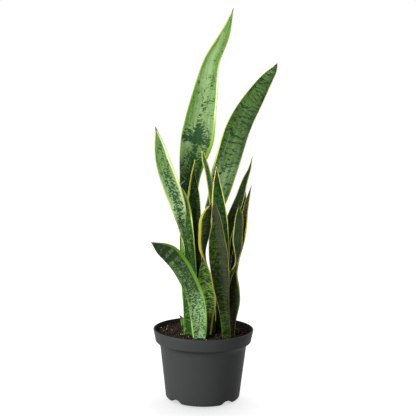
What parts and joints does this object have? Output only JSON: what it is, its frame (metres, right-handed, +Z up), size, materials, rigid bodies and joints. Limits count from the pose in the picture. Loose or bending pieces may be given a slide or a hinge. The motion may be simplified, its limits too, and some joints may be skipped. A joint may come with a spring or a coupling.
{
  "type": "potted snake plant",
  "caption": "Snake plant with upright banded, yellow-edged leaves growing from potting soil in a dark round nursery pot with a broad rim and notched base.",
  "frame": {"origin": "middle of the pot's underside, on the surface that it stands on", "axes": "+Z up along the pot's axis, -Y towards the front of the plant, +X to its right"},
  "size_m": [0.1972, 0.165, 0.644],
  "materials": {
    "pot_plastic": "moulded matte dark grey plastic with a slight green tint",
    "potting_soil": "crumbly dark brown peat with bark and perlite grains",
    "rhizome": "tan fleshy root stock, dull",
    "pale_leaf": "waxy pale grey-green leaf with dark bands and yellow-green margins",
    "mottled_leaf": "waxy mid-green leaf with dark cross mottling and yellow-green margins",
    "dark_leaf": "waxy dark green leaf with a grey sheen and thin yellow margins"
  },
  "bodies": {
    "root": {"pot": "pot_plastic", "soil": "potting_soil", "rhizome_left": "rhizome", "rhizome_middle": "rhizome", "rhizome_right": "rhizome", "leaf_tall_left": "pale_leaf", "leaf_tall_right": "mottled_leaf", "leaf_light": "pale_leaf", "leaf_behind_light": "mottled_leaf", "leaf_dark_left": "dark_leaf", "leaf_front_left": "mottled_leaf", "leaf_twisted": "dark_leaf", "leaf_front": "dark_leaf", "leaf_middle": "dark_leaf", "leaf_narrow": "mottled_leaf", "leaf_dark_right": "dark_leaf", "leaf_short_right": "dark_leaf", "leaf_outer_right": "dark_leaf", "leaf_grey_right": "dark_leaf", "sheath_scale": "mottled_leaf"}
  },
  "joints": []
}
